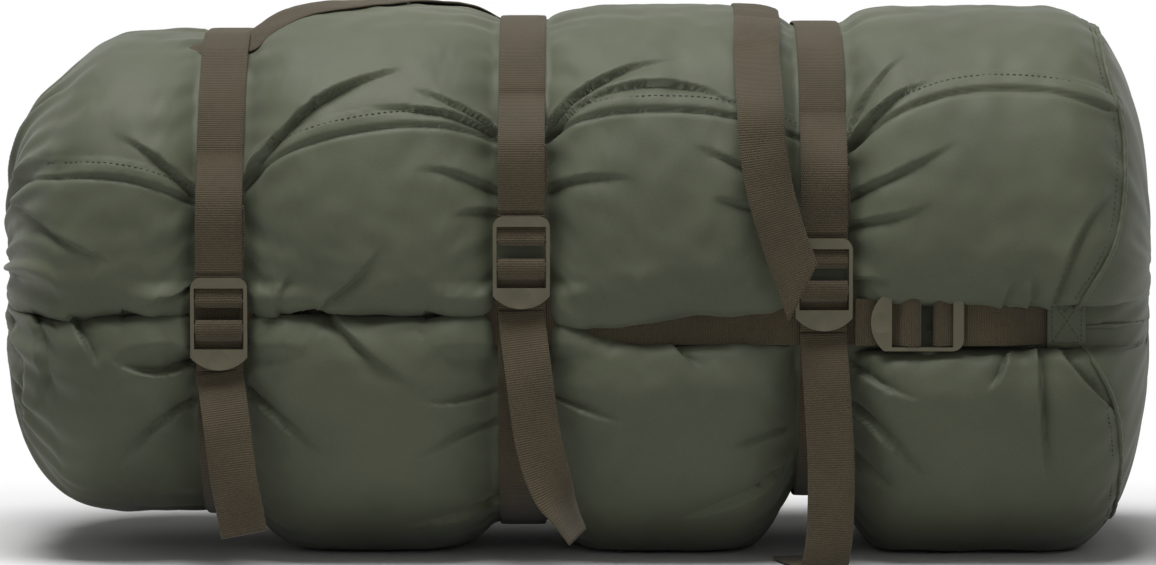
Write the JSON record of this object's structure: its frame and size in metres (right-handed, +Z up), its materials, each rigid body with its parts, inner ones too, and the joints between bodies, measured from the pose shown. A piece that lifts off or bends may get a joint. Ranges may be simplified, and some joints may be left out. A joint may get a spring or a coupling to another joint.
{
  "type": "compression stuff sack",
  "caption": "Packed cylindrical stuff sack on its side, drawn in by webbing straps with ladder locks round it and along it.",
  "frame": {"origin": "centre of the bounding box in plan, on the surface that the sack lies on", "axes": "+X along the sack from the gathered mouth to the sewn base, -Y towards the side with the ladder locks, +Z up"},
  "size_m": [0.6278, 0.2935, 0.3028],
  "materials": {
    "sack_fabric": "matte",
    "webbing": "matte",
    "lock_plastic": "satin",
    "packed_load": "matte",
    "eyelet_metal": "satin"
  },
  "bodies": {
    "sack": {"packed_load": "packed_load", "body_panel": "sack_fabric", "base_panel": "sack_fabric", "base_seam_binding": "sack_fabric", "mouth_hem": "sack_fabric", "cord_eyelet": "eyelet_metal", "left_girth_strap": "webbing", "middle_girth_strap": "webbing", "right_girth_strap": "webbing", "front_length_strap": "webbing", "diagonal_length_strap": "webbing", "rear_length_strap": "webbing", "front_anchor_strap": "webbing", "front_anchor_patch": "sack_fabric", "rear_anchor_strap": "webbing", "rear_anchor_patch": "sack_fabric", "right_tail": "webbing", "rear_tail": "webbing"},
    "left_lock": {"left_lock": "lock_plastic", "left_lock_loop": "webbing", "left_lock_bight": "webbing"},
    "middle_lock": {"middle_lock": "lock_plastic", "middle_lock_loop": "webbing", "middle_lock_bight": "webbing"},
    "right_lock": {"right_lock": "lock_plastic", "right_lock_loop": "webbing", "right_lock_bight": "webbing"},
    "front_lock": {"front_lock": "lock_plastic", "front_lock_loop": "webbing", "front_lock_bight": "webbing"},
    "rear_lock": {"rear_lock": "lock_plastic", "rear_lock_loop": "webbing", "rear_lock_bight": "webbing"},
    "left_tail": {"left_tail": "webbing"},
    "middle_tail": {"middle_tail": "webbing"},
    "rear_tail_end": {"rear_tail_end": "webbing"}
  },
  "joints": [
    {"name": "left_lock_tilt", "type": "hinge", "parent": "sack", "child": "left_lock", "pos_m": [-0.1925, -0.1264, 0.15715], "axis": [-1, 0, 0], "range_deg": [0, 20], "stiffness_Nm_per_rad": 0.02},
    {"name": "middle_lock_tilt", "type": "hinge", "parent": "sack", "child": "middle_lock", "pos_m": [-0.031, -0.1294, 0.19015], "axis": [-1, 0, 0], "range_deg": [0, 20], "stiffness_Nm_per_rad": 0.02},
    {"name": "right_lock_tilt", "type": "hinge", "parent": "sack", "child": "right_lock", "pos_m": [0.1305, -0.1264, 0.17815], "axis": [-1, 0, 0], "range_deg": [0, 20], "stiffness_Nm_per_rad": 0.02},
    {"name": "front_lock_tilt", "type": "hinge", "parent": "sack", "child": "front_lock", "pos_m": [0.20615, -0.1264, 0.132], "axis": [0, 0, 1], "range_deg": [0, 20], "stiffness_Nm_per_rad": 0.02},
    {"name": "rear_lock_tilt", "type": "hinge", "parent": "sack", "child": "rear_lock", "pos_m": [0.20615, 0.1424, 0.132], "axis": [0, 0, -1], "range_deg": [0, 20], "stiffness_Nm_per_rad": 0.02},
    {"name": "left_tail_swing", "type": "hinge", "parent": "left_lock", "child": "left_tail", "pos_m": [-0.1925, -0.1241, 0.10585], "axis": [-1, 0, 0], "range_deg": [0, 45]},
    {"name": "middle_tail_swing", "type": "hinge", "parent": "middle_lock", "child": "middle_tail", "pos_m": [-0.031, -0.1271, 0.13885], "axis": [-1, 0, 0], "range_deg": [0, 45]},
    {"name": "rear_tail_end_swing", "type": "hinge", "parent": "sack", "child": "rear_tail_end", "pos_m": [0.096, -0.0546, 0.2974], "axis": [-1, 0, 0], "range_deg": [0, 40]}
  ]
}
